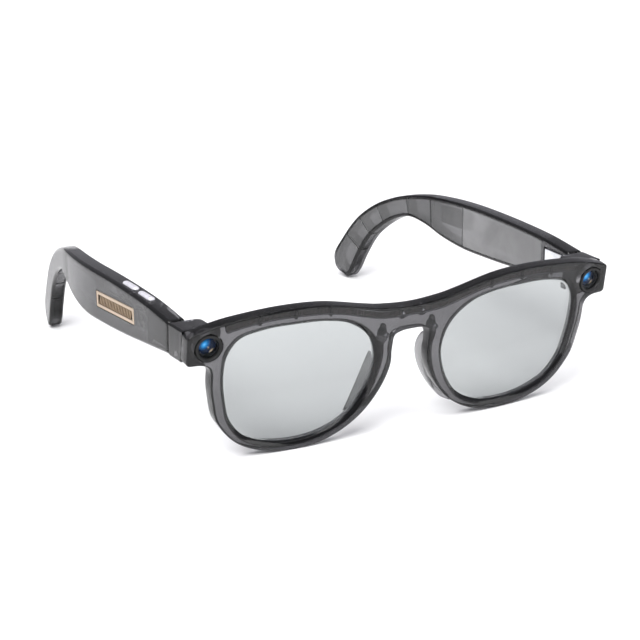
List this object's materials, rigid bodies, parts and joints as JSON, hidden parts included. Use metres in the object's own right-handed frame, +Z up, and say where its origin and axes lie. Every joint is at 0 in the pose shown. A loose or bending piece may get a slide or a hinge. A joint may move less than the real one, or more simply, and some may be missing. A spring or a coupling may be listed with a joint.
{
  "type": "smart glasses",
  "caption": "Smart glasses with clear lenses in a translucent smoke front, a camera in each end piece and folding temples that hold the electronics, press buttons and a grille.",
  "frame": {"origin": "centre of the bottom of the part's box, standing on both lower rims and both ear tips", "axes": "+X the wearer's left, -Y where the wearer looks, temples to +Y, +Z up"},
  "size_m": [0.1448, 0.14, 0.0466],
  "materials": {
    "smoke_shell": "glossy translucent smoke-grey plastic",
    "smoke_cover": "satin translucent smoke-grey plastic",
    "lens_clear": "clear coated lens with a pale grey-green cast",
    "nose_pad": "soft translucent grey",
    "steel": "polished stainless steel",
    "camera_black": "satin black",
    "camera_glass": "blue anti-reflection coating",
    "gold_trim": "satin pale gold",
    "bronze_mesh": "dark bronze, fine hatched mesh",
    "button_silver": "satin silver",
    "flex_cable": "copper-brown polyimide film",
    "cell": "foil-wrapped cell, grey",
    "speaker_black": "matte black",
    "circuit_board": "dark solder mask"
  },
  "bodies": {
    "front": {"front_frame": "smoke_shell", "brow_flex": "flex_cable", "brow_cover": "smoke_cover", "lens_left": "lens_clear", "lens_right": "lens_clear", "nose_pad_left": "nose_pad", "nose_pad_right": "nose_pad", "nose_pad_screw_left": "steel", "nose_pad_screw_right": "steel", "bridge_screw_right": "steel", "bridge_screw_left": "steel", "camera_bezel_left": "camera_black", "camera_bezel_right": "camera_black", "camera_window_left": "camera_glass", "camera_window_right": "camera_glass", "camera_barrel_left": "camera_black", "camera_barrel_right": "camera_black", "camera_lens_left": "camera_glass", "camera_lens_right": "camera_glass", "camera_sensor_left": "circuit_board", "camera_sensor_right": "circuit_board", "end_housing_left": "smoke_shell", "end_housing_right": "smoke_shell", "hinge_front_leaf_left": "steel", "hinge_front_leaf_right": "steel", "hinge_screw_left": "steel", "hinge_screw_right": "steel"},
    "temple_right": {"temple_shell_right": "smoke_shell", "temple_cover_right": "smoke_cover", "temple_screw_right": "steel", "ear_tip_right": "smoke_shell", "ear_tip_cover_right": "smoke_cover", "hinge_rear_leaf_right": "steel", "battery_right": "cell", "main_board_right": "circuit_board", "speaker_right": "speaker_black", "grille_frame": "gold_trim", "grille_mesh": "bronze_mesh", "switch_board": "circuit_board", "button_switch_front": "speaker_black", "button_switch_rear": "speaker_black"},
    "temple_left": {"temple_shell_left": "smoke_shell", "temple_cover_left": "smoke_cover", "temple_screw_left": "steel", "ear_tip_left": "smoke_shell", "ear_tip_cover_left": "smoke_cover", "hinge_rear_leaf_left": "steel", "battery_left": "cell", "side_board_left": "circuit_board", "speaker_left": "speaker_black"},
    "button_front": {"button_front": "button_silver"},
    "button_rear": {"button_rear": "button_silver"}
  },
  "joints": [
    {"name": "temple_right_fold", "type": "hinge", "parent": "front", "child": "temple_right", "pos_m": [-0.066, -0.05301, 0.03702], "axis": [0, -0.0366, -0.9993], "range_deg": [0, 75]},
    {"name": "temple_left_fold", "type": "hinge", "parent": "front", "child": "temple_left", "pos_m": [0.066, -0.05301, 0.03702], "axis": [0, 0.0366, 0.9993], "range_deg": [0, 86]},
    {"name": "button_front_press", "type": "slide", "parent": "temple_right", "child": "button_front", "axis": [0, -0.0366, -0.9993], "range_m": [0, 0.00035], "stiffness_N_per_m": 800},
    {"name": "button_rear_press", "type": "slide", "parent": "temple_right", "child": "button_rear", "axis": [0, -0.0366, -0.9993], "range_m": [0, 0.00035], "stiffness_N_per_m": 800}
  ]
}
